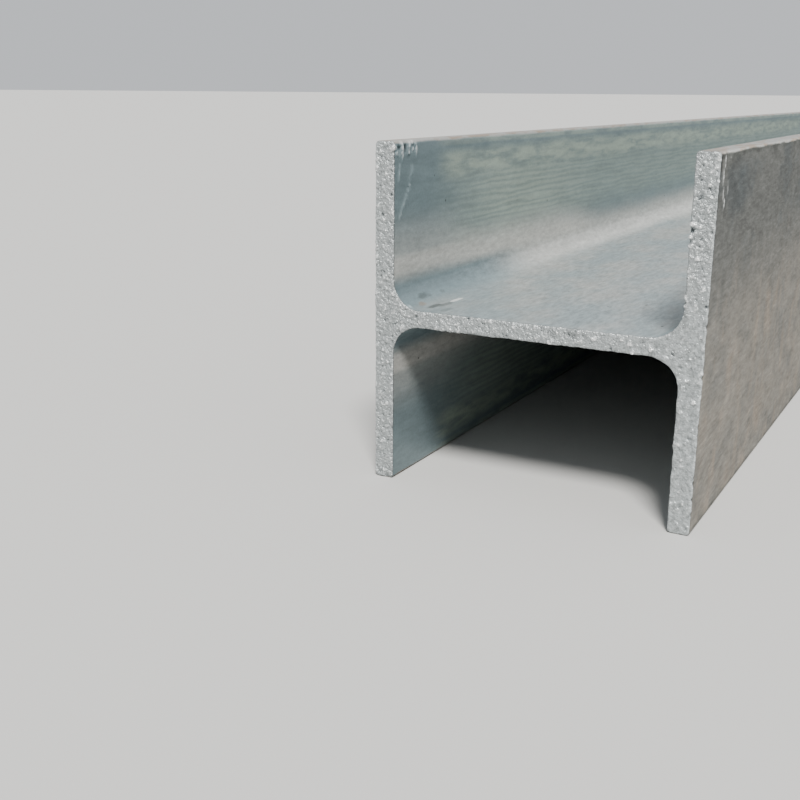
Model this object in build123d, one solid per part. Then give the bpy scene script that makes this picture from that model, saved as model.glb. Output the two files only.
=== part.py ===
from build123d import *
import os

# Hot-dip galvanised rolled steel H-beam, one stock length with both ends sawn square.
# All sizes are in millimetres.
# +X runs along the length, from the sawn end that shows in front at -X to the far end.
# +Y runs across the section, from the right flange to the left flange, and +Z is up.
# The beam lies on the lower edges of its two flanges, so its web is level at mid height.
# The origin is below the middle of the length, on the surface that carries the beam.

# Driving dimensions
beam_length = 6000.0
section_depth = 97.0
flange_width = 100.0
flange_thickness = 6.2
web_thickness = 5.0
root_radius = 8.5
toe_radius = 1.0
end_edge_radius = 0.4


def flange_outline(side: int) -> Sketch:
    """Upright flange plate seen along the beam, on the left (1) or right (-1)."""
    middle = side * (section_depth - flange_thickness) / 2
    plate = Location((middle, flange_width / 2)) * Rectangle(flange_thickness, flange_width)
    return fillet(plate.vertices(), toe_radius)


def web_outline() -> Sketch:
    """Level web plate that reaches into both flanges."""
    span = section_depth - flange_thickness
    return Location((0, flange_width / 2)) * Rectangle(span, web_thickness)


def root_corners(section: Sketch) -> ShapeList[Vertex]:
    """The four inner corners where the web meets the flanges."""
    corner_y = section_depth / 2 - flange_thickness
    corner_z = web_thickness / 2
    reach = root_radius / 2
    return ShapeList(
        corner
        for corner in section.vertices()
        if abs(abs(corner.X) - corner_y) < reach
        and abs(abs(corner.Y - flange_width / 2) - corner_z) < reach
    )


def h_section() -> Sketch:
    """Whole H, with rolled roots and rounded toes, standing on its flange toes."""
    section = flange_outline(1) + web_outline() + flange_outline(-1)
    return fillet(root_corners(section), root_radius)


def h_beam() -> Part:
    """One straight length of the section, with the edges of both cuts eased."""
    start = Plane.YZ.offset(-beam_length / 2)
    bar = extrude(start * h_section(), amount=beam_length)
    cut_faces = bar.faces().sort_by(Axis.X)
    cut_edges = cut_faces[0].edges() + cut_faces[-1].edges()
    return fillet(cut_edges, end_edge_radius)


def main() -> None:
    """Write the one solid of the beam."""
    os.makedirs("parts", exist_ok=True)
    beam = h_beam()
    beam.label = "h_beam"
    export_step(beam, "parts/h_beam.step")


main()
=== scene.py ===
import logging
import math
import random
from collections.abc import Callable, Iterator
from contextlib import contextmanager
from dataclasses import dataclass
from enum import Enum
from functools import partialmethod

import bpy
import numpy as np
from mathutils import Euler, Matrix, Vector


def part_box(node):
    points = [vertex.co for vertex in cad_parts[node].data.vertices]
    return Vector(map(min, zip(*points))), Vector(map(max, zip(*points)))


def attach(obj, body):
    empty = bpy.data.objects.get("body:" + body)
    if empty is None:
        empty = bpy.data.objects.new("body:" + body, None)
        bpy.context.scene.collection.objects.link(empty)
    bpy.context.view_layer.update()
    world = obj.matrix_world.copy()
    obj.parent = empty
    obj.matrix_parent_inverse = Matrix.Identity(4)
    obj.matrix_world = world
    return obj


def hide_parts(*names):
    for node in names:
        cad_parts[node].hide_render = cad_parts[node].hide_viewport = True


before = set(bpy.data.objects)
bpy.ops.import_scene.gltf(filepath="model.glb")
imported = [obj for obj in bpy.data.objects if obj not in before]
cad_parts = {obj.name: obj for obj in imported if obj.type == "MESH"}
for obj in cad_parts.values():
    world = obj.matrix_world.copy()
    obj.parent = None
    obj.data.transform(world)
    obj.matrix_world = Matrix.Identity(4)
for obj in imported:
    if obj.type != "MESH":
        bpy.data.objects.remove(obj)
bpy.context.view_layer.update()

# Looks of a hot-dip galvanised steel H-beam, in metres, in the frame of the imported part.
# The beam runs along X with the sawn end that faces the camera at -X, and lies on its flange toes at Z = 0.

MM = 0.001
X, Y, Z = range(3)
# Places no further apart than this count as one.
SAME_PLACE = 0.01 * MM
# A face whose normal has more than this share along an axis counts as square to it.
SQUARE = 0.9
LOG = logging.getLogger("h_beam")
NODE = "h_beam"
BODY = "root"
SLOT = "galvanised_steel"
Place = tuple[float, float, float]
Colour = tuple[float, float, float]


class End(Enum):
    """The two sawn ends of the beam, by the sign of X."""

    FRONT = -1
    FAR = 1


class Kind(Enum):
    """What an edit selects, by the name of its list in a mesh."""

    VERTEX = "vertices"
    EDGE = "edges"
    FACE = "polygons"


class Zone(Enum):
    """The parts of the skin, by the name of their vertex group or attribute."""

    CUT = "cut"
    RIM = "rim"
    SKIN = "skin"
    OUTER = "outer"
    WEB = "web"
    CRUST = "crust"
    BUMPY = "bumpy"
    RAISED = "raised"
    SUNK = "sunk"
    RELIEF = "relief"


@dataclass(frozen=True)
class Section:
    """Sizes of the H, with the overall ones read from the frame."""

    length: float
    depth: float
    width: float
    flange: float = 6.2 * MM
    web: float = 5 * MM
    root_radius: float = 8.5 * MM
    toe_radius: float = 1 * MM
    cut_edge: float = 0.4 * MM

    @classmethod
    def from_frame(cls, node: str) -> "Section":
        """Returns the section with the length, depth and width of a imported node."""
        low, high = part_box(node)
        return cls(length=high.x - low.x, depth=high.y - low.y, width=high.z - low.z)

    @property
    def half_length(self) -> float:
        """Distance from the middle of the beam to either cut."""
        return self.length / 2

    @property
    def inner_y(self) -> float:
        """Distance from the middle to the inner face of a flange."""
        return self.depth / 2 - self.flange

    @property
    def web_z(self) -> float:
        """Height of the middle of the web."""
        return self.width / 2

    @property
    def root_top(self) -> float:
        """Distance from the middle of the web to where a root runs out on its flange."""
        return self.web / 2 + self.root_radius


@dataclass(frozen=True)
class MeshPlan:
    """How finely the skin is divided, in the grid and nearer to the cuts."""

    across: float = 3 * MM
    even_reach: float = 21 * MM
    growth: float = 1.25
    longest_cell: float = 190 * MM
    ring_reaches: Place = (21 * MM, 8 * MM, 1.6 * MM)
    ring_edges: Place = (2.2 * MM, 1.1 * MM, 0.55 * MM)
    patch_edge: float = 0.55 * MM
    most_halvings: int = 5
    root_segments: int = 8
    toe_segments: int = 3
    edge_segments: int = 2


def work_on(piece: bpy.types.Object) -> None:
    """Makes one object the active one and the only one selected."""
    bpy.ops.object.select_all(action="DESELECT")
    piece.select_set(True)
    bpy.context.view_layer.objects.active = piece


@contextmanager
def editing(piece: bpy.types.Object, kind: Kind, chosen: np.ndarray | None = None) -> Iterator[None]:
    """Opens a piece in edit mode with only the chosen parts selected, and closes it again.

    Args:
        piece: the piece to edit.
        kind: the only kind of part that is selected.
        chosen: one truth value for each part of that kind, or None for all of them.
    """
    work_on(piece)
    for other in Kind:
        parts = getattr(piece.data, other.value)
        given = other is kind and chosen is not None
        parts.foreach_set("select", chosen if given else np.full(len(parts), other is kind))
    bpy.context.tool_settings.mesh_select_mode = tuple(other is kind for other in Kind)
    bpy.ops.object.mode_set(mode="EDIT")
    yield
    bpy.ops.object.mode_set(mode="OBJECT")


def displace(piece: bpy.types.Object, zone: Zone, height: float, **settings: object) -> None:
    """Pushes one zone of the skin out along its normals.

    Args:
        piece: the piece to push.
        zone: the group that says how much each place moves.
        height: how far a place moves at most, below 0 for inwards.
        settings: other settings of the modifier.
    """
    work_on(piece)
    push = piece.modifiers.new(zone.value, "DISPLACE")
    for name, value in {"vertex_group": zone.value, "strength": height, **settings}.items():
        setattr(push, name, value)
    bpy.ops.object.modifier_apply(modifier=push.name)


def rows(parts: bpy.types.bpy_prop_collection, name: str, kind: type = float, width: int = 3) -> np.ndarray:
    """Reads one property of all vertices or edges.

    Args:
        parts: the vertices or edges of a mesh.
        name: the property, such as co or normal.
        kind: the kind of its numbers.
        width: how many of them each part has.

    Returns:
        One row of numbers for each part.
    """
    flat = np.empty(len(parts) * width, dtype=kind)
    parts.foreach_get(name, flat)
    return flat.reshape(-1, width)


def edge_ends(mesh: bpy.types.Mesh) -> np.ndarray:
    """Returns one row with the two vertex numbers of every edge."""
    return rows(mesh.edges, "vertices", int, 2)


def edge_places(mesh: bpy.types.Mesh) -> tuple[np.ndarray, np.ndarray]:
    """Returns the places of the first and the second end of every edge."""
    places = rows(mesh.vertices, "co")[edge_ends(mesh)]
    return places[:, 0], places[:, 1]


def smooth_step(low: float, high: float, values: np.ndarray) -> np.ndarray:
    """Returns 0 below low, 1 above high, and a soft rise between them."""
    share = np.clip((values - low) / (high - low), 0, 1)
    return share * share * (3 - 2 * share)


def same(values: np.ndarray, place: float) -> np.ndarray:
    """Returns which values are the place."""
    return np.isclose(values, place, atol=SAME_PLACE)


def both_sides(line: float) -> tuple[float, ...]:
    """Returns a line and its mirror image, or the middle line alone."""
    return (line, -line) if line else (line,)


def divided(marks: tuple[float, ...], step: float) -> list[float]:
    """Puts evenly spaced numbers between marks.

    Args:
        marks: the numbers that stay, in order.
        step: the wanted distance, which may come out a tenth longer.

    Returns:
        The marks and the numbers between them.
    """
    numbers = [marks[0]]
    for start, stop in zip(marks, marks[1:]):
        count = max(1, math.ceil((stop - start) / step - 0.1))
        numbers += [start + (stop - start) * i / count for i in range(1, count + 1)]
    return numbers


@dataclass
class Blank:
    """The plain H before it gets its coat, shaped in edit mode from one block."""

    section: Section
    plan: MeshPlan

    def __post_init__(self) -> None:
        """Adds the web as one block over the whole depth."""
        s = self.section
        bpy.ops.mesh.primitive_cube_add(size=1, location=(0, 0, s.web_z), scale=(s.length, s.depth, s.web))
        self.piece = bpy.context.active_object
        self.piece.name = "galvanised_h_beam"
        bpy.ops.object.transform_apply(location=True, rotation=True, scale=True)

    def shape(self) -> None:
        """Raises the flanges and rounds the roots, the toes and the outline of the cuts."""
        s, plan = self.section, self.plan
        self._raise_flanges()
        self._bevel(self._long_edges(s.web / 2, s.inner_y), s.root_radius, plan.root_segments)
        self._bevel(self._long_edges(s.width / 2, s.inner_y, s.depth / 2), s.toe_radius, plan.toe_segments)
        self._bevel(self._cut_outline(), s.cut_edge, plan.edge_segments)

    def _raise_flanges(self) -> None:
        """Parts the block at the inner faces of the flanges and draws the flanges up and down."""
        s = self.section
        with editing(self.piece, Kind.FACE):
            for at in both_sides(s.inner_y):
                self._cut(Y, at)
        for rise in both_sides((s.width - s.web) / 2):
            faces = self.piece.data.polygons
            up = math.copysign(1, rise)
            strips = [abs(face.center.y) > s.inner_y and face.normal.z * up > SQUARE for face in faces]
            with editing(self.piece, Kind.FACE, np.array(strips)):
                bpy.ops.mesh.extrude_region_move(TRANSFORM_OT_translate={"value": (0, 0, rise)})
        with editing(self.piece, Kind.FACE):
            bpy.ops.mesh.normals_make_consistent(inside=False)

    def _cut(self, axis: int, at: float) -> None:
        """Cuts the whole mesh in two across an axis, in edit mode, and keeps both halves."""
        bpy.ops.mesh.select_all(action="SELECT")
        bpy.ops.mesh.bisect(plane_co=np.eye(3)[axis] * at, plane_no=np.eye(3)[axis], threshold=0.02 * MM)

    def _bevel(self, chosen: np.ndarray, size: float, segments: int) -> None:
        """Rounds the chosen edges to a radius, in so many flats."""
        with editing(self.piece, Kind.EDGE, chosen):
            bpy.ops.mesh.bevel(offset=size, segments=segments, affect="EDGES", clamp_overlap=False)

    def _long_edges(self, up: float, *across: float) -> np.ndarray:
        """Finds the edges along the beam by their distances from its middle line.

        Args:
            up: how far above or below it.
            across: how far to either side of it, one or more distances.

        Returns:
            One truth value for each edge.
        """
        start, stop = edge_places(self.piece.data)
        along = np.abs(start[:, X] - stop[:, X]) > self.section.half_length
        beside = np.any([same(np.abs(start[:, Y]), size) for size in across], axis=0)
        return along & beside & same(np.abs(start[:, Z] - self.section.web_z), up)

    def _cut_outline(self) -> np.ndarray:
        """Finds the outline of both sawn ends.

        Returns:
            One truth value for each edge.
        """
        mesh = self.piece.data
        edges: dict[bool, set[tuple[int, int]]] = {True: set(), False: set()}
        for face in mesh.polygons:
            edges[abs(face.normal.x) > SQUARE].update(face.edge_keys)
        outline = edges[True] & edges[False]
        return np.array([tuple(sorted(pair)) in outline for pair in edge_ends(mesh).tolist()])

    def divide(self) -> None:
        """Cuts the skin into a grid that is fine at the ends and long in the middle."""
        s = self.section
        lines_across = divided((0, s.inner_y - s.root_radius, s.inner_y, s.depth / 2), self.plan.across)[:-1]
        lines_up = divided((0, s.web / 2, s.root_top, s.width / 2 - s.toe_radius), self.plan.across)
        cuts = [(Y, at) for line in lines_across for at in both_sides(line)]
        cuts += [(Z, s.web_z + at) for line in lines_up for at in both_sides(line)]
        stations = divided((0, self.plan.even_reach), self.plan.across)[1:]
        cell = self.plan.across
        while stations[-1] + cell < s.half_length:
            cell = min(cell * self.plan.growth, self.plan.longest_cell)
            stations.append(stations[-1] + cell)
        kept = [station - s.half_length for station in stations if station < s.half_length - cell / 2]
        cuts += [(X, at) for line in (0, *kept) for at in both_sides(line)]
        with editing(self.piece, Kind.FACE):
            for axis, at in cuts:
                self._cut(axis, at)
            self._split_many_sided()

    def _split_many_sided(self) -> None:
        """Splits every face with more than four sides into triangles, in edit mode."""
        bpy.ops.mesh.select_all(action="DESELECT")
        bpy.ops.mesh.select_face_by_sides(number=4, type="GREATER")
        bpy.ops.mesh.quads_convert_to_tris(quad_method="BEAUTY", ngon_method="BEAUTY")

    def refine(self, inside: Callable[[np.ndarray], np.ndarray], longest: float) -> None:
        """Halves the long edges of a region until none is longer than the limit.

        Args:
            inside: takes places and gives one truth value for each.
            longest: the longest edge that stays.
        """
        for _ in range(self.plan.most_halvings):
            start, stop = edge_places(self.piece.data)
            too_long = (np.linalg.norm(stop - start, axis=1) > longest) & inside(start) & inside(stop)
            if not too_long.any():
                break
            with editing(self.piece, Kind.EDGE, too_long):
                bpy.ops.mesh.subdivide(number_cuts=1, quadcorner="INNERVERT")
                bpy.context.tool_settings.mesh_select_mode = (False, False, True)
                self._split_many_sided()

    def even_out(self) -> None:
        """Evens the grid on the flat of both sawn ends, without moving their outline."""
        mesh = self.piece.data
        flat = same(np.abs(rows(mesh.vertices, "co")[:, X]), self.section.half_length)
        ends = edge_ends(mesh)
        leaving = flat[ends[:, 0]] != flat[ends[:, 1]]
        inner = flat.copy()
        inner[ends[leaving].ravel()] = False
        with editing(self.piece, Kind.VERTEX, inner):
            bpy.ops.mesh.vertices_smooth(factor=0.5, repeat=6)


@dataclass(frozen=True)
class Spot:
    """One local mark in the zinc: a lump, a pit, a ridge or a crust.

    Its place and half sizes are in millimetres: from the sawn end, across and up. A height above 0 stands
    out of the skin and one below 0 sinks in. Crust is how rough the place is, from 0 to 1.
    """

    place: Place
    half: Place
    height: float
    crust: float = 0.0

    def weights(self, section: Section, places: np.ndarray, end: End) -> np.ndarray:
        """Finds how much of the mark each place gets.

        Args:
            section: the sizes of the H.
            places: rows of X, Y and Z.
            end: the sawn end that it lies at.

        Returns:
            One number for each place, from 0 outside the mark to 1 in its middle.
        """
        from_cut, across, up = (size * MM for size in self.place)
        middle = (end.value * (section.half_length - from_cut), across, up)
        distance = np.linalg.norm((places - middle) / (np.array(self.half) * MM), axis=1)
        return 1 - smooth_step(0.25, 1, distance)


@dataclass(frozen=True)
class Grain:
    """One layer of relief all over a zone: a soft noise pattern pushed along the normals."""

    zone: Zone
    size: float
    height: float
    stretch: Place = (1.0, 1.0, 1.0)
    turn: float = 0.0
    hard: bool = False
    middle: float = 0.5
    step: Place = (0.0137, 0.0071, 0.0043)

    def lay(self, piece: bpy.types.Object, number: int) -> None:
        """Pushes the skin of the piece in and out by the pattern.

        Args:
            piece: the piece to work on.
            number: which layer it is, so that no two layers line up.
        """
        bpy.ops.object.empty_add(type="PLAIN_AXES", location=[size * number for size in self.step])
        guide = bpy.context.active_object
        guide.rotation_euler = Euler((self.turn, 0, 0))
        guide.scale = [self.size * share for share in self.stretch]
        bpy.context.view_layer.update()
        texture = bpy.data.textures.new(f"grain_{number}", "CLOUDS")
        texture.noise_scale = 1
        texture.noise_depth = 1
        texture.noise_basis = "IMPROVED_PERLIN"
        texture.noise_type = "HARD_NOISE" if self.hard else "SOFT_NOISE"
        pattern = {"texture": texture, "texture_coords": "OBJECT", "texture_coords_object": guide}
        displace(piece, self.zone, self.height, mid_level=self.middle, **pattern)
        work_on(guide)
        bpy.ops.object.delete()


def zinc_run(start: Place, stop: Place, count: int) -> tuple[Spot, ...]:
    """Returns low spots from start to stop, so close that they make one thin run of zinc."""
    places = (Vector(start).lerp(Vector(stop), i / (count - 1)) for i in range(count))
    return tuple(Spot(tuple(place), (0.8, 1.5, 1.7), 0.15, 0.25) for place in places)


# Marks seen in the zinc of the sawn end that faces the camera: place, half sizes, height and crust.
FRONT_SPOTS = (
    # Drip crust at the top corner of the left flange, inside.
    Spot((3, 42.3, 97.6), (6, 2.2, 3.4), 0.1, 1),
    Spot((10, 42.3, 98.2), (4.6, 2.2, 3), 0.1, 1),
    Spot((4.6, 42.3, 96.5), (0.9, 2, 3.4), 0.26, 0.6),
    Spot((8.4, 42.3, 97), (0.8, 2, 3.2), 0.28, 0.6),
    Spot((12.8, 42.3, 97.2), (0.9, 2, 3), 0.26, 0.5),
    Spot((2.6, 42.3, 98), (1.4, 2, 1), -0.34),
    Spot((6.4, 42.3, 97.8), (1.3, 2, 1.8), -0.4),
    Spot((10.4, 42.3, 98.4), (1.2, 2, 0.9), -0.3),
    # Thin run that slants down from that crust to the cut, and a short one beside it.
    *zinc_run((10.2, 42.3, 91.8), (8.6, 42.3, 86.4), 5),
    *zinc_run((8, 42.3, 85.4), (3.2, 42.3, 78.6), 7),
    *zinc_run((3.2, 42.3, 92.4), (2.6, 42.3, 89.4), 3),
    # Lumps on the inner rim of the right flange, with a deep pit between them.
    Spot((0.4, -42.6, 82.2), (1.2, 1.2, 1.1), 0.5),
    Spot((0.4, -42.6, 79), (1.1, 1.1, 0.8), 0.45),
    Spot((0.4, -42.6, 76.8), (1.1, 1.1, 1), 0.42),
    Spot((0.2, -42.8, 80.5), (0.9, 0.7, 0.75), -0.75),
    Spot((0.2, -42.7, 77.9), (0.8, 0.6, 0.6), -0.24),
    Spot((0.3, -42.6, 61.5), (1, 1, 1), 0.32),
    Spot((0.3, -42.6, 63.6), (0.8, 0.8, 0.7), 0.3),
    Spot((0.2, -42.6, 62.4), (0.7, 0.5, 0.5), -0.4),
    Spot((0.3, -42.6, 24.2), (1, 1, 1.6), 0.22),
    # Beads and pits on the flat of the right flange's cut.
    Spot((0, -44.7, 73.7), (0.9, 0.8, 0.8), 0.34),
    Spot((0, -47.4, 73.3), (0.9, 0.8, 0.8), 0.34),
    Spot((0, -44.6, 78.6), (0.9, 1.5, 0.6), -0.34),
    Spot((0, -44.3, 81.6), (0.9, 1.6, 0.6), 0.28),
    Spot((0, -46.2, 90.9), (0.9, 0.7, 0.6), -0.28),
    Spot((0, -43.9, 93), (0.9, 0.7, 0.6), -0.28),
    Spot((0, -44.4, 89.2), (0.9, 0.9, 0.7), -0.24),
    Spot((0, -44.1, 96.6), (0.9, 0.7, 0.6), -0.24),
    Spot((0, -46.3, 26.8), (0.9, 0.6, 0.6), -0.32),
    Spot((0, -44.5, 42.2), (0.9, 0.9, 0.9), 0.22),
    # Ridge of zinc on the outside of the right flange, behind a groove at the cut.
    Spot((3.9, -48.5, 97.4), (0.8, 1.2, 3), 0.32),
    Spot((3.1, -48.5, 93.6), (0.8, 1.2, 3.8), 0.32),
    Spot((4.4, -48.5, 89.6), (0.8, 1.2, 3.4), 0.26),
    Spot((5.8, -48.5, 87), (0.8, 1.2, 2.6), 0.32),
    Spot((9, -48.5, 90.2), (0.8, 1.2, 2.2), 0.22),
    Spot((5.5, -48.5, 83.7), (0.6, 1, 0.7), 0.2),
    Spot((3.5, -48.5, 74.4), (0.6, 1, 0.7), 0.16),
    Spot((1.5, -48.5, 96.6), (1.05, 1.2, 3.6), -0.34),
    Spot((9.5, -48.5, 98.6), (5, 1.2, 1.6), 0.14, 0.7),
    # Crust, beads, pits and waves on the web's cut.
    Spot((0, -7.2, 50.6), (1.2, 1.8, 1.6), -0.16, 0.8),
    Spot((0, -12.6, 50.9), (1.2, 2.8, 1.4), -0.12, 1),
    Spot((0, -16.6, 51), (1.2, 1.4, 1.1), -0.18, 0.8),
    Spot((0, -14.3, 49.1), (1, 2.4, 0.6), 0.26, 0.6),
    Spot((0, -18.9, 50.5), (1, 1.2, 0.8), 0.36),
    Spot((0, -21.2, 51.4), (1, 1.4, 0.6), -0.26, 0.6),
    Spot((0, -26.6, 50.9), (1, 1.4, 0.5), 0.24, 0.4),
    Spot((0, -28.8, 50.2), (1, 1.5, 0.6), 0.36, 0.4),
    Spot((0, -31.4, 50.9), (1, 1.2, 0.6), -0.24, 0.6),
    Spot((0, -34.6, 49.2), (1, 1, 0.9), 0.22, 0.8),
    Spot((0, -40.3, 48.9), (0.9, 0.8, 0.7), -0.3),
    Spot((0, 34.6, 51.1), (0.9, 0.6, 0.6), -0.3),
    Spot((0, 24.3, 51.9), (0.9, 0.7, 0.6), -0.28),
    Spot((0, 18.2, 52), (0.9, 0.9, 0.8), -0.28),
    Spot((0, 13.5, 51.2), (0.9, 0.7, 0.6), -0.3),
    Spot((0, 4.7, 48.9), (0.9, 0.7, 0.7), 0.32),
    Spot((0, 33.7, 49.4), (0.9, 0.5, 1.4), 0.26),
    Spot((1, 38.4, 53.2), (1.6, 2.6, 0.9), 0.26),
    # Notches along the outer rim of the right flange.
    Spot((0, -48.5, 56.7), (1.1, 0.9, 1), -0.32),
    Spot((0, -48.5, 43.5), (1.1, 0.9, 0.9), -0.3),
    Spot((0, -48.5, 30.4), (1.1, 0.8, 1.2), -0.22),
    Spot((0, -48.5, 14.8), (1.1, 0.9, 1.2), -0.38),
    Spot((0, -48.5, 10.3), (1.1, 0.9, 1), -0.36),
    Spot((0, -48.5, 6.2), (1.1, 0.8, 0.9), -0.3),
)

# Marks at the sawn end that the camera doesn't see: the same kinds of drips and lumps, elsewhere.
FAR_SPOTS = (
    Spot((3, -42.3, 2.2), (5.5, 2.2, 3), 0.28, 1),
    Spot((8, -42.3, 3.4), (1, 2, 3.4), 0.28, 0.5),
    Spot((0.4, 42.6, 70.2), (1.2, 1.2, 1.2), 0.42),
    Spot((0.3, 42.7, 72), (0.8, 0.7, 0.7), -0.45),
    Spot((4, 48.5, 92), (0.8, 1.2, 4.5), 0.24),
    Spot((0, 14, 50.8), (1.2, 2.8, 1.4), -0.2, 1),
    Spot((0, 19, 49.6), (1, 1.5, 0.7), 0.32, 0.4),
    Spot((0, 48.5, 22), (1.1, 0.9, 1.2), -0.34),
)
SPOTS = {End.FRONT: FRONT_SPOTS, End.FAR: FAR_SPOTS}


@dataclass(frozen=True)
class Pepper:
    """Beads and pits strewn over the flat of a sawn end, with their sizes in millimetres."""

    section: Section
    count: int = 320
    smallest: float = 0.4
    largest: float = 0.85
    deepest: float = 0.24
    share_of_pits: float = 0.45
    from_middle: float = 0.46
    seed: int = 41

    def spots(self, end: End) -> list[Spot]:
        """Draws the beads and pits of one sawn end.

        Args:
            end: which sawn end.

        Returns:
            The spots, all on the flat of the cut.
        """
        s = self.section
        draw = random.Random(self.seed + end.value)
        flange_area = 2 * s.flange * s.width
        web_area = (s.depth - 2 * s.flange) * s.web
        spots = []
        for _ in range(self.count):
            if draw.random() * (flange_area + web_area) < flange_area:
                middle = (s.inner_y + s.flange / 2) * draw.choice((-1, 1))
                y = middle + s.flange * draw.uniform(-self.from_middle, self.from_middle)
                z = s.width * draw.uniform(0.01, 0.99)
            else:
                y = s.inner_y * draw.uniform(-1, 1)
                z = s.web_z + s.web * draw.uniform(-self.from_middle, self.from_middle)
            size = draw.uniform(self.smallest, self.largest)
            height = self.deepest * draw.uniform(0.4, 1)
            sign = -1 if draw.random() < self.share_of_pits else 1
            half = (1, size * draw.uniform(0.8, 1.3), size * draw.uniform(0.8, 1.3))
            spots.append(Spot((0, y / MM, z / MM), half, sign * height))
        return spots


@dataclass
class Coat:
    """The zinc on the H: grain, lumps, pits and crusts as real relief."""

    section: Section
    piece: bpy.types.Object
    tallest_spot: float = 0.8 * MM
    rim_reach: float = 1.5 * MM
    fine_reach: float = 16 * MM
    least_weight: float = 0.005
    grains: tuple[Grain, ...] = (
        Grain(Zone.CUT, 1.15 * MM, 0.74 * MM),
        Grain(Zone.CUT, 0.95 * MM, -0.68 * MM, (1, 0.8, 1.5), math.radians(-38), hard=True, middle=0.2),
        Grain(Zone.RIM, 2.3 * MM, 0.4 * MM),
        Grain(Zone.RIM, 6.5 * MM, 0.4 * MM),
        Grain(Zone.CRUST, 1.5 * MM, 0.8 * MM, (1, 1, 1.5), hard=True, middle=0.15),
        Grain(Zone.CRUST, 0.9 * MM, 0.5 * MM),
        Grain(Zone.SKIN, 3.6 * MM, 0.05 * MM),
        Grain(Zone.SKIN, 16 * MM, 0.12 * MM, (2.6, 1, 1)),
    )

    def __post_init__(self) -> None:
        """Keeps the flat places and normals of the plain H."""
        self.places = rows(self.piece.data.vertices, "co")
        self.normals = rows(self.piece.data.vertices, "normal")
        self.crust = np.zeros(len(self.places))

    def _bumpy(self) -> np.ndarray:
        """Finds how coarse the cut is at each place: finer low down on the right flange.

        Returns:
            One number for each place, up to 1.
        """
        s = self.section
        right = smooth_step(-0.1 * s.depth, -0.4 * s.depth, self.places[:, Y])
        low = 1 - smooth_step(0.56 * s.width, 0.78 * s.width, self.places[:, Z])
        return 1 - 0.48 * right * low

    def _inside_rim(self) -> np.ndarray:
        """Finds how deep each place lies inside the outline of the H, seen from its end.

        Returns:
            One distance for each place.
        """
        s = self.section
        y = np.abs(self.places[:, Y])
        z = np.abs(self.places[:, Z] - s.web_z)
        in_flange = np.minimum(np.minimum(s.depth / 2 - y, y - s.inner_y), s.width / 2 - z)
        return np.maximum(in_flange, np.where(y < s.inner_y + s.flange / 2, s.web / 2 - z, 0))

    def weigh(self) -> None:
        """Writes how much of each kind of relief every vertex gets as vertex groups."""
        from_cut = self.section.half_length - np.abs(self.places[:, X])
        facing = smooth_step(0.5, 0.9, np.abs(self.normals[:, X]))
        near_cut = 1 - smooth_step(0, self.rim_reach, from_cut)
        at_rim = near_cut * (1 - smooth_step(0.2 * MM, self.rim_reach, self._inside_rim()))
        fine = 1 - smooth_step(self.fine_reach * 0.6, self.fine_reach, from_cut)
        raised, sunk = np.zeros(len(self.places)), np.zeros(len(self.places))
        for end in End:
            for spot in (*SPOTS[end], *Pepper(self.section).spots(end)):
                share = spot.weights(self.section, self.places, end)
                target = raised if spot.height > 0 else sunk
                np.maximum(target, share * (abs(spot.height) * MM / self.tallest_spot), out=target)
                np.maximum(self.crust, share * spot.crust, out=self.crust)
        shares = {
            Zone.CUT: np.maximum(facing * self._bumpy(), 0.22 * near_cut),
            Zone.RIM: at_rim,
            Zone.SKIN: (1 - facing) * fine,
            Zone.CRUST: self.crust,
            Zone.RAISED: raised,
            Zone.SUNK: sunk,
        }
        for zone, weights in shares.items():
            group = self.piece.vertex_groups.new(name=zone.value)
            for number in np.flatnonzero(weights > self.least_weight).tolist():
                group.add([number], float(weights[number]), "REPLACE")

    def lay(self) -> None:
        """Lays the grain in, raises the lumps and sinks the pits."""
        for number, grain in enumerate(self.grains):
            grain.lay(self.piece, number)
        displace(self.piece, Zone.RAISED, self.tallest_spot, mid_level=0)
        displace(self.piece, Zone.SUNK, -self.tallest_spot, mid_level=0)
        bpy.ops.object.vertex_group_remove(all=True)

    def mark(self) -> None:
        """Writes the relief and the zones as attributes for the finish."""
        s = self.section
        height = ((rows(self.piece.data.vertices, "co") - self.places) * self.normals).sum(axis=1)
        y = np.abs(self.places[:, Y])
        values = {
            Zone.RELIEF: height / MM,
            Zone.CUT: smooth_step(0.2, 0.6, np.abs(self.normals[:, X])),
            Zone.OUTER: smooth_step(s.depth / 2 - 0.6 * MM, s.depth / 2 - 0.2 * MM, y),
            Zone.WEB: 1 - smooth_step(s.inner_y - s.root_radius, s.inner_y - 0.35 * s.root_radius, y),
            Zone.CRUST: self.crust,
            Zone.BUMPY: self._bumpy(),
        }
        for zone, numbers in values.items():
            layer = self.piece.data.attributes.new(zone.value, "FLOAT", "POINT")
            layer.data.foreach_set("value", numbers.astype(np.float32))

    def fit(self) -> None:
        """Draws the coated H in, so that its highest points just touch the box of the CAD part."""
        low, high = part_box(NODE)
        places = rows(self.piece.data.vertices, "co")
        least, most = Vector(places.min(axis=0)), Vector(places.max(axis=0))
        share = [(high[axis] - low[axis]) / (most[axis] - least[axis]) for axis in (X, Y, Z)]
        with editing(self.piece, Kind.VERTEX):
            bpy.ops.transform.resize(value=share, center_override=(least + most) / 2)
            bpy.ops.transform.translate(value=(low + high) / 2 - (least + most) / 2)

    def smooth(self) -> None:
        """Shades the skin smoothly, led by its large faces."""
        work_on(self.piece)
        bpy.ops.object.shade_smooth()
        self.piece.modifiers.new("large_faces_lead", "WEIGHTED_NORMAL")
        bpy.ops.object.modifier_apply(modifier="large_faces_lead")


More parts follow.
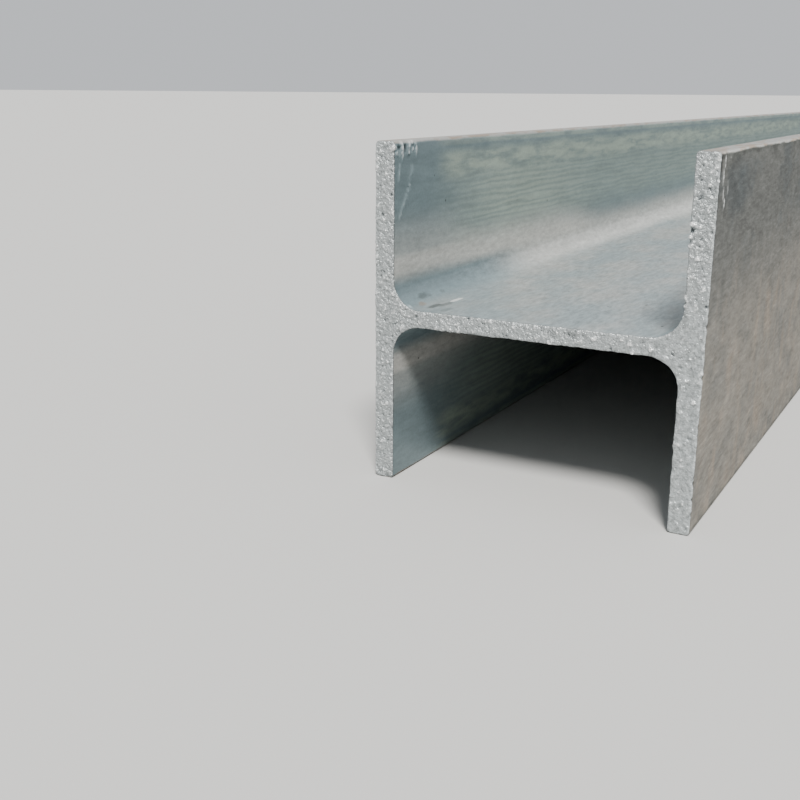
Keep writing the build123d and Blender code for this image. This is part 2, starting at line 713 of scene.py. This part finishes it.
@dataclass(frozen=True)
class Wire:
    """A socket with arithmetic, so that shader maths reads like a formula."""

    graph: "Graph"
    socket: bpy.types.NodeSocket

    def _math(self, operation: str, *others: "Wire | float") -> "Wire":
        """Returns the result of one Math node on self and the others in order."""
        return self.graph.node("ShaderNodeMath", {"operation": operation}, dict(enumerate((self, *others))))

    __add__ = __radd__ = partialmethod(_math, "ADD")
    __mul__ = __rmul__ = partialmethod(_math, "MULTIPLY")
    __sub__ = partialmethod(_math, "SUBTRACT")
    __abs__ = partialmethod(_math, "ABSOLUTE")

    def __rsub__(self, other: float) -> "Wire":
        """Returns other - self."""
        return self.graph.node("ShaderNodeMath", {"operation": "SUBTRACT"}, {0: other, 1: self})

    def rise(self, low: float, high: float) -> "Wire":
        """Returns 0 at low and 1 at high, which may be the lesser one, with a soft rise between."""
        inputs = {"Value": self, "From Min": low, "From Max": high}
        return self.graph.node("ShaderNodeMapRange", {"interpolation_type": "SMOOTHSTEP"}, inputs)


@dataclass
class Graph:
    """A material and its node tree, with all sizes in millimetres but for the middle of a blot."""

    name: str

    def __post_init__(self) -> None:
        """Adds the material, its output and what every pattern starts from."""
        self.material = bpy.data.materials.new(self.name)
        self.material.use_nodes = True
        self.tree = self.material.node_tree
        self.tree.nodes.clear()
        self.output = self.tree.nodes.new("ShaderNodeOutputMaterial")
        self.place = self.node("ShaderNodeTexCoord", outlet="Object")

    def node(
        self, kind: str, settings: dict | None = None, inputs: dict | None = None, outlet: str | int = 0
    ) -> Wire:
        """Adds one node.

        Args:
            kind: the node's type.
            settings: its properties, set first.
            inputs: values or wires of its sockets, by name or number.
            outlet: the output that is returned.

        Returns:
            The wire of that output.
        """
        added = self.tree.nodes.new(kind)
        for name, value in (settings or {}).items():
            setattr(added, name, value)
        for key, value in (inputs or {}).items():
            socket = added.inputs[key]
            if isinstance(value, Wire):
                self.tree.links.new(value.socket, socket)
            else:
                socket.default_value = (*value, 1) if socket.type == "RGBA" else value
        return Wire(self, added.outputs[outlet])

    def surface(self, inputs: dict) -> None:
        """Shows the shader on the surface, with values or wires of its sockets by name."""
        shader = self.node("ShaderNodeBsdfPrincipled", inputs=inputs)
        self.tree.links.new(shader.socket, self.output.inputs["Surface"])

    def axis(self, name: str) -> Wire:
        """Returns one coordinate of the place: X, Y or Z."""
        return self.node("ShaderNodeSeparateXYZ", inputs={0: self.place}, outlet=name) * (1 / MM)

    def number(self, zone: Zone) -> Wire:
        """Returns the number that the mesh holds for a zone."""
        return self.node("ShaderNodeAttribute", {"attribute_name": zone.value}, outlet="Fac")

    def _cells(self, cell: Place, shift: float = 0) -> Wire:
        """Returns the place in cells, moved by the shift so that patterns differ."""
        inputs = {"Vector": self.place, "Location": (shift, shift * 0.7, shift * 1.3)}
        return self.node("ShaderNodeMapping", inputs=inputs | {"Scale": [1 / (size * MM) for size in cell]})

    def noise(
        self, cell: Place, detail: float, roughness: float = 0.5, shift: float = 0, bend: float = 0
    ) -> Wire:
        """Adds a soft noise.

        Args:
            cell: the size of its blots.
            detail: how many finer layers it has.
            roughness: how strong those are.
            shift: moves the pattern, so that two of them differ.
            bend: how far its blots are bent out of line.

        Returns:
            A number from about 0 to 1.
        """
        inputs = {"Vector": self._cells(cell, shift), "Scale": 1}
        inputs |= {"Detail": detail, "Roughness": roughness, "Distortion": bend}
        return self.node("ShaderNodeTexNoise", inputs=inputs, outlet="Fac")

    def lines(self, cell: Place) -> Wire:
        """Adds soft wavy lines along X.

        Args:
            cell: the length of their waves along X and Y, and their distance along Z.

        Returns:
            A number from 0 to 1.
        """
        one_line_a_cell = math.pi / 10
        inputs = {"Vector": self._cells(cell), "Scale": one_line_a_cell, "Distortion": 6, "Detail": 3}
        inputs["Detail Scale"] = 0.8 / one_line_a_cell
        settings = {"wave_type": "BANDS", "bands_direction": "Z"}
        return self.node("ShaderNodeTexWave", settings, inputs, outlet="Fac")

    def specks(self, cell: float, radius: float) -> Wire:
        """Returns 1 in scattered dots about a cell apart, and 0 elsewhere."""
        inputs = {"Vector": self.place, "Scale": 1 / (cell * MM)}
        return self.node("ShaderNodeTexVoronoi", inputs=inputs, outlet="Distance").rise(radius, radius * 0.4)

    def blot(self, middle: Place, half: Place, ragged: Wire) -> Wire:
        """Adds one oval mark.

        Args:
            middle: its middle, in metres.
            half: its half sizes.
            ragged: a noise that frays its outline.

        Returns:
            1 inside the mark and 0 outside.
        """
        sizes = tuple(size * MM for size in half)
        offset = self.node("ShaderNodeVectorMath", {"operation": "SUBTRACT"}, {0: self.place, 1: middle})
        share = self.node("ShaderNodeVectorMath", {"operation": "DIVIDE"}, {0: offset, 1: sizes})
        distance = self.node("ShaderNodeVectorMath", {"operation": "LENGTH"}, {0: share}, outlet="Value")
        return (distance + (ragged - 0.5) * 1.1).rise(1, 0.45)

    def tint(self, under: Wire | Colour, over: Wire | Colour, share: Wire) -> Wire:
        """Returns one colour laid over another by its share."""
        inputs = {"Factor": share, 6: under, 7: over}
        return self.node("ShaderNodeMix", {"data_type": "RGBA", "clamp_factor": True}, inputs, outlet=2)

    def shaded(self, colour: Wire, amount: Wire) -> Wire:
        """Returns a colour made lighter or darker by a factor."""
        return self.node("ShaderNodeVectorMath", {"operation": "SCALE"}, {0: colour, "Scale": amount})


@dataclass
class ZincFinish(Graph):
    """The dull, weathered hot-dip zinc, with its own look on each part of the skin."""

    section: Section
    inner: Colour = (0.2, 0.258, 0.274)
    # Warm tone low on the inner faces, partly painted light: a painted reflection of the pale web.
    inner_warm_and_reflection: Colour = (0.615, 0.605, 0.57)
    # Pale green of the ripples and bands, partly a painted highlight.
    inner_pale_green_and_highlight: Colour = (0.425, 0.492, 0.415)
    # Painted shade along the roots of the inner faces and over the web's front corner.
    painted_root_shade: Colour = (0.205, 0.272, 0.295)
    web: Colour = (0.28, 0.33, 0.345)
    web_warm: Colour = (0.362, 0.374, 0.364)
    outer: Colour = (0.12, 0.123, 0.117)
    outer_tan: Colour = (0.188, 0.174, 0.15)
    outer_blue: Colour = (0.066, 0.078, 0.083)
    toe: Colour = (0.37, 0.374, 0.36)
    stain: Colour = (0.27, 0.205, 0.15)
    cut: Colour = (0.328, 0.352, 0.354)
    # Painted shade for the pits of the sawn ends.
    painted_pit_shade: Colour = (0.085, 0.097, 0.102)
    # Painted highlight on beads, ridges and crests of the zinc.
    painted_bead_highlight: Colour = (0.72, 0.735, 0.73)
    # Dark specks and marks, and the colour of the painted shadow under the toes.
    dark_speck_and_edge_shadow: Colour = (0.05, 0.055, 0.05)
    pale_dash: Colour = (0.76, 0.77, 0.75)

    # Middles of the bands on the inner flange faces: two from the toe, the others from the web's middle. The
    # warm strip is partly painted light, a painted reflection of the web, and the root band is painted
    # shade.
    green_band: float = 8.0
    thin_green_band: float = 1.4
    warm_and_reflection_strip: float = 14.4
    root_shade: float = 6.6

    def __post_init__(self) -> None:
        """Starts the material with the distances and the relief that its looks follow."""
        super().__post_init__()
        self.height = self.axis("Z")
        self.from_web = abs(self.height - self.section.web_z / MM)
        self.from_toe = self.section.width / 2 / MM - self.from_web
        self.from_cut = self.section.half_length / MM - abs(self.axis("X"))
        self.relief = self.number(Zone.RELIEF)
        self.bumpy = self.number(Zone.BUMPY)
        self.fine = self.noise((0.66,) * 3, 2, roughness=0.6)

    def dress(self) -> bpy.types.Material:
        """Lays the looks of the parts of the skin over each other.

        Returns:
            The finished material.
        """
        fine, relief = self.fine, self.relief
        cut, outer = self.number(Zone.CUT), self.number(Zone.OUTER)
        colour = self.tint(self._inner_faces(), self._web_faces(), self.number(Zone.WEB))
        colour = self.tint(self._stains_and_corner_shade(colour), self._outer_faces(), outer)
        ragged = self.noise((9, 2.2, 2.2), 4, roughness=0.6, shift=6.6)
        toe = (self.from_toe - (ragged - 0.5) * 1.5).rise(1, 0.4)
        colour = self.tint(colour, self._toe_faces(), toe)
        # Painted light and shade from the relief: crests lighter, hollows darker, and painted highlights on
        # the highest beads and ridges.
        colour = self.shaded(colour, 1 + relief * 2.2 + (fine - 0.5) * 0.35)
        colour = self.tint(colour, self.painted_bead_highlight, relief.rise(0.12, 0.34) * fine.rise(0.32, 0.6) * 0.8)
        cut_colour = self.shaded(self._cut_faces(), 1 - 0.32 * self.number(Zone.CRUST))
        colour = self.tint(colour, cut_colour, cut)
        colour = self.shaded(colour, 0.88 + 0.24 * self.noise((420, 200, 200), 1, shift=3.1))
        colour = self.tint(colour, self.dark_speck_and_edge_shadow, self.specks(11, 0.5 / 11) * 0.8)

        sheen = self.noise((60, 9, 9), 3, shift=1.7)
        grain = self.noise((0.5,) * 3, 1, shift=5.3)
        waves = self.noise((34, 5, 5), 1, shift=8.9)
        height_mm = (grain * 0.24 + fine * 0.5 * self.bumpy) * cut
        height_mm += (grain * 0.03 + waves * 0.06) * (1 - cut)
        bump = self.node("ShaderNodeBump", inputs={"Height": height_mm, "Strength": 1, "Distance": MM})
        inputs = {
            "Base Color": colour,
            "Metallic": 0.5 - 0.05 * cut - 0.5 * outer,
            "Roughness": 0.36 + 0.14 * sheen + 0.4 * outer - 0.12 * cut,
            "Specular IOR Level": 0.05,
            "Normal": bump,
        }
        self.surface(inputs)
        return self.material

    def _inner_faces(self) -> Wire:
        """Mixes the inner flange faces: blue grey, pale green above with painted highlights, warm towards
        the root with a painted reflection of the web, painted shade along the root and painted light that
        brightens them further from the cut.

        Returns:
            Their colour.
        """
        from_web, from_toe, from_cut = self.from_web, self.from_toe, self.from_cut
        blots = self.noise((38, 14, 14), 5, roughness=0.6, shift=0.9)
        clumps = self.noise((15, 3, 2.6), 3, roughness=0.55, shift=2.3, bend=0.3)
        lines = self.lines((21, 21, 2))
        fray = self.noise((4.2, 1.3, 1.3), 3, roughness=0.65, shift=5.1)
        wander = (blots - 0.5) * 9
        # Painted light: the inner faces grow lighter and greener further from the cut, with painted shade
        # near it, and the ripples dim again from 95 to 185 mm, painted shade.
        painted_light_away_from_cut = from_cut.rise(15, 80)
        fading = painted_light_away_from_cut * (1 - 0.4 * from_cut.rise(95, 185))
        rippled = from_toe.rise(10, 14) * (from_toe + wander).rise(38, 24) * fading
        band = abs(from_toe + wander * 0.4 - self.green_band).rise(6, 1.5)
        thin_band = abs(from_toe + wander * 0.1 - self.thin_green_band).rise(1.5, 0.5)
        clumped = 0.4 + 0.62 * clumps.rise(0.3, 0.62)
        banded = (band + thin_band * 0.6) * clumped * from_cut.rise(24, 40)
        # The green is partly a painted highlight.
        green = banded + rippled * (0.58 + 0.26 * lines)
        # The warm band is partly painted light, a painted reflection of the web: a broad rise and a strip
        # near the cut, lower and narrower further along.
        strip_of_warm_and_reflection = abs(from_web - self.warm_and_reflection_strip).rise(4.2, 1.2)
        near_warm_and_reflection = 0.48 * from_web.rise(32, 17) + 0.5 * strip_of_warm_and_reflection
        sunk = from_web + (blots - 0.5) * 6 + 6 * from_cut.rise(125, 185)
        far_warm_and_reflection = sunk.rise(24.5, 12.5)
        warm = far_warm_and_reflection + (near_warm_and_reflection - far_warm_and_reflection) * from_cut.rise(60, 25)
        # Painted shade along the root, strongest within about 55 mm of the front cut and faint beyond 110
        # mm.
        root_top = self.section.root_top / MM
        root_shade_mask = (from_web + wander * 0.2).rise(root_top + 0.8, root_top - 3)
        root_shade_near_front = 0.2 + 0.75 * from_cut.rise(110, 55)
        colour = self.tint(self.inner, self.inner_warm_and_reflection, warm * 0.95)
        colour = self.tint(colour, self.inner_pale_green_and_highlight, green * 0.8)
        colour = self.tint(colour, self.painted_root_shade, root_shade_mask * root_shade_near_front)
        # Deeper painted shade low in the root.
        deepest = abs(from_web - self.root_shade).rise(3, 1) * root_shade_near_front
        streaks = (clumps - 0.5) * 0.4 + (lines - 0.5) * 0.13 * rippled
        frayed = (fray - 0.5) * (0.35 + 0.5 * warm)
        # Painted light further from the cut, with painted shade in the deepest part of the root, over random
        # tone.
        shade = 0.8 + 0.12 * painted_light_away_from_cut + 0.05 * rippled + 0.16 * blots - 0.07 * deepest
        return self.shaded(colour, shade + streaks + frayed)

    def _web_faces(self) -> Wire:
        """Mixes the web's faces: pale and cloudy, bluish and warm by turns.

        Returns:
            Their colour.
        """
        blots = self.noise((30, 15, 15), 5, roughness=0.6, shift=4.4)
        fray = self.noise((5.5, 1.5, 1.5), 4, roughness=0.7, shift=6.1)
        clouds = self.noise((9, 4, 4), 3, roughness=0.6, shift=2.9)
        colour = self.tint(self.web, self.web_warm, blots.rise(0.34, 0.7))
        return self.shaded(colour, 0.1 + 1.34 * fray + 0.36 * clouds + 0.1 * blots)

    def _stains_and_corner_shade(self, colour: Wire) -> Wire:
        """Lays a painted shade over the web's corner by the left root, and the stains on the web and its
        root, near the front cut.

        Args:
            colour: the colour without them.

        Returns:
            The colour with them.
        """
        s = self.section
        fray = self.noise((4, 1.2, 1.2), 3, roughness=0.6, shift=6.4)
        top = s.web_z + s.web / 2
        # Painted shade over the web's front corner by the left root.
        dull = self.blot((-s.half_length, s.inner_y, top), (62, 30, 8), fray)
        colour = self.tint(colour, self.painted_root_shade, dull * 0.34)
        # Each mark's colour, place from the cut and across, half sizes and strength.
        marks = (
            (self.dark_speck_and_edge_shadow, (9.8, 33.6), (5, 1.5), 0.66),
            (self.dark_speck_and_edge_shadow, (14.6, 32), (6, 1.6), 0.5),
            (self.dark_speck_and_edge_shadow, (7, 28), (4.5, 1.6), 0.34),
            (self.pale_dash, (22.6, 32.4), (4.6, 1.2), 0.85),
            (self.stain, (8.6, 36.8), (2.8, 1.2), 0.5),
            (self.dark_speck_and_edge_shadow, (13.8, 39.1), (5.2, 1.2), 0.5),
            (self.dark_speck_and_edge_shadow, (25.3, 38.7), (2.4, 1), 0.3),
            (self.dark_speck_and_edge_shadow, (16.1, -32.7), (0.9, 0.5), 0.8),
            (self.dark_speck_and_edge_shadow, (44, -20), (1.3, 0.5), 0.5),
        )
        for mark, (from_cut, across), half, share in marks:
            middle = (-s.half_length + from_cut * MM, across * MM, top)
            colour = self.tint(colour, mark, self.blot(middle, (*half, 5), fray) * share)
        return colour

    def _outer_faces(self) -> Wire:
        """Mixes the outer flange faces: dull warm grey, mottled, with tan and blue stains and a painted
        shadow under the toe.

        Returns:
            Their colour.
        """
        s = self.section
        blots = self.noise((26, 26, 22), 5, roughness=0.65, shift=7.7)
        grain = self.noise((4.4, 1, 0.95), 2, roughness=0.6, shift=1.1)
        drops = self.noise((9, 4, 5), 4, roughness=0.65, shift=9.5)
        flecks = self.noise((8, 1.6, 1.3), 3, roughness=0.65, shift=3.9, bend=1.2)
        runs = self.noise((11, 6, 26), 4, roughness=0.65, shift=4.9, bend=0.5)
        lower = self.height.rise(82, 46)
        tan = (blots * 0.7 + drops * 0.3).rise(0.34, 0.62) * lower
        blue = (blots + (drops - 0.5) * 0.4).rise(0.5, 0.66) * (1 - lower)
        near_top = (24 * MM - s.half_length, -s.depth / 2, 0.9 * s.width)
        smudge = self.blot(near_top, (22, 3, 9), drops)
        # Painted shadow in a ragged line just under the toe.
        painted_edge_shadow = (self.from_toe + (drops - 0.5) * 3).rise(2.8, 1)
        colour = self.tint(self.outer, self.outer_tan, 0.25 * lower + 0.6 * tan)
        colour = self.tint(colour, self.stain, runs.rise(0.48, 0.72) * lower * 0.34)
        colour = self.tint(colour, self.outer_blue, blue * 0.5)
        colour = self.tint(colour, self.outer_blue, smudge * 0.5)
        colour = self.tint(colour, self.dark_speck_and_edge_shadow, painted_edge_shadow * 0.4)
        shade = 0.09 + 0.9 * grain + 0.72 * drops + 0.26 * flecks.rise(0.52, 0.74) + 0.22 * lower
        return self.shaded(colour, shade)

    def _toe_faces(self) -> Wire:
        """Mixes the flange toes: paler than the faces, rubbed and stained tan.

        Returns:
            Their colour.
        """
        s = self.section
        blots = self.noise((11, 3, 3), 4, roughness=0.65, shift=5.8)
        tan = self.blot((-s.half_length, -s.inner_y, s.width), (14, 9, 4), blots)
        colour = self.tint(self.toe, self.stain, blots.rise(0.44, 0.62) * 0.8 + tan * 0.4)
        return self.shaded(colour, 0.7 + 0.6 * blots)

    def _cut_faces(self) -> Wire:
        """Mixes the sawn ends: light grey, with painted shade in the pits and painted highlights on the
        beads.

        Returns:
            Their colour.
        """
        grit = self.noise((0.5,) * 3, 2, roughness=0.7, shift=6.9)
        mottle = self.noise((1.3,) * 3, 1, roughness=0.6, shift=7.4)
        level = self.relief + (self.fine - 0.5) * 0.4
        # Painted shade in the pits and painted highlights on the beads, by the relief.
        colour = self.tint(self.painted_pit_shade, self.cut, level.rise(-0.42, -0.11))
        colour = self.tint(colour, self.painted_bead_highlight, level.rise(0.06, 0.34))
        mottled = (1 - self.bumpy) * ((mottle - 0.5) * 2.6 + (grit - 0.5) * 0.6)
        return self.shaded(colour, 0.53 + 0.4 * self.fine + 0.56 * grit + mottled)


@dataclass(frozen=True)
class StudioFloor:
    """The plain pale floor, which isn't part of the object."""

    size: float = 400.0
    colour: Colour = (0.44, 0.44, 0.43)
    roughness: float = 0.9

    def build(self) -> None:
        """Lays the floor under the beam."""
        bpy.ops.mesh.primitive_plane_add(size=self.size, location=(0, 0, 0))
        floor = bpy.context.active_object
        floor.name = "studio_floor"
        graph = Graph("pale_floor")
        graph.surface({"Base Color": self.colour, "Roughness": self.roughness})
        floor.data.materials.append(graph.material)


@dataclass(frozen=True)
class StudioLight:
    """Soft even light: a pale surround and one broad, distant key."""

    surround: Colour = (0.93, 0.96, 1.0)
    surround_strength: float = 0.72
    key_from: Place = (-0.52, -0.3, 0.8)
    key_colour: Colour = (1.0, 0.975, 0.94)
    key_strength: float = 7.6
    key_angle: float = math.radians(14)

    def build(self) -> None:
        """Sets the surround and adds the key."""
        world = bpy.data.worlds.new("pale_surround")
        bpy.context.scene.world = world
        world.use_nodes = True
        background = world.node_tree.nodes["Background"]
        background.inputs["Color"].default_value = (*self.surround, 1)
        background.inputs["Strength"].default_value = self.surround_strength
        turn = Vector(self.key_from).to_track_quat("Z", "Y").to_euler()
        bpy.ops.object.light_add(type="SUN", location=self.key_from, rotation=turn)
        key = bpy.context.active_object
        key.name = "key"
        key.data.energy = self.key_strength
        key.data.color = self.key_colour
        key.data.angle = self.key_angle


@dataclass(frozen=True)
class CameraStand:
    """Where the photograph was taken from: before the sawn end, a little above it and to its right."""

    section: Section
    before_cut: float = 0.26975
    across: float = -0.10925
    height: float = 0.11308
    heading: float = math.radians(28.86)
    dip: float = math.radians(15.9)
    roll: float = math.radians(0.41)
    lens: float = 48.63
    nearest: float = 0.02

    def build(self) -> None:
        """Sets up the camera."""
        place = (-self.section.half_length - self.before_cut, self.across, self.height)
        bpy.ops.object.camera_add(location=place)
        camera = bpy.context.active_object
        camera.name = "camera"
        aim = Euler((math.pi / 2 - self.dip, 0, self.heading - math.pi / 2)).to_matrix()
        camera.rotation_euler = (aim @ Matrix.Rotation(self.roll, 3, "Z")).to_euler()
        camera.data.lens = self.lens
        camera.data.clip_start = self.nearest
        bpy.context.scene.camera = camera


@dataclass(frozen=True)
class HBeam:
    """The galvanised H-beam: one rolled piece, sawn at both ends and dipped."""

    section: Section
    plan: MeshPlan = MeshPlan()

    def _near_cut(self, reach: float) -> Callable[[np.ndarray], np.ndarray]:
        """Returns a test of which places lie within reach of a sawn end."""
        return lambda places: self.section.half_length - np.abs(places[:, X]) < reach

    def _near_mark(self, places: np.ndarray) -> np.ndarray:
        """Returns one truth value for each place: whether it lies in a mark."""
        marks = ((spot, end) for end in End for spot in SPOTS[end])
        return np.any([spot.weights(self.section, places, end) > 0.01 for spot, end in marks], axis=0)

    def build(self) -> bpy.types.Object:
        """Builds, coats and dresses the beam.

        Returns:
            The finished piece.
        """
        blank = Blank(self.section, self.plan)
        blank.shape()
        blank.divide()
        for reach, longest in zip(self.plan.ring_reaches, self.plan.ring_edges):
            blank.refine(self._near_cut(reach), longest)
        blank.refine(self._near_mark, self.plan.patch_edge)
        blank.even_out()
        coat = Coat(self.section, blank.piece)
        coat.weigh()
        coat.lay()
        coat.mark()
        coat.fit()
        coat.smooth()
        blank.piece.data.materials.append(ZincFinish(SLOT, self.section).dress())
        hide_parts(NODE)
        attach(blank.piece, BODY)
        return blank.piece


def main() -> None:
    """Builds the beam, the studio and the camera."""
    logging.basicConfig(level=logging.INFO, format="%(name)s: %(message)s")
    section = Section.from_frame(NODE)
    beam = HBeam(section).build()
    beam.data.calc_loop_triangles()
    LOG.info("%s: %d triangles", beam.name, len(beam.data.loop_triangles))
    StudioFloor().build()
    StudioLight().build()
    CameraStand(section).build()


if __name__ == "__main__":
    main()
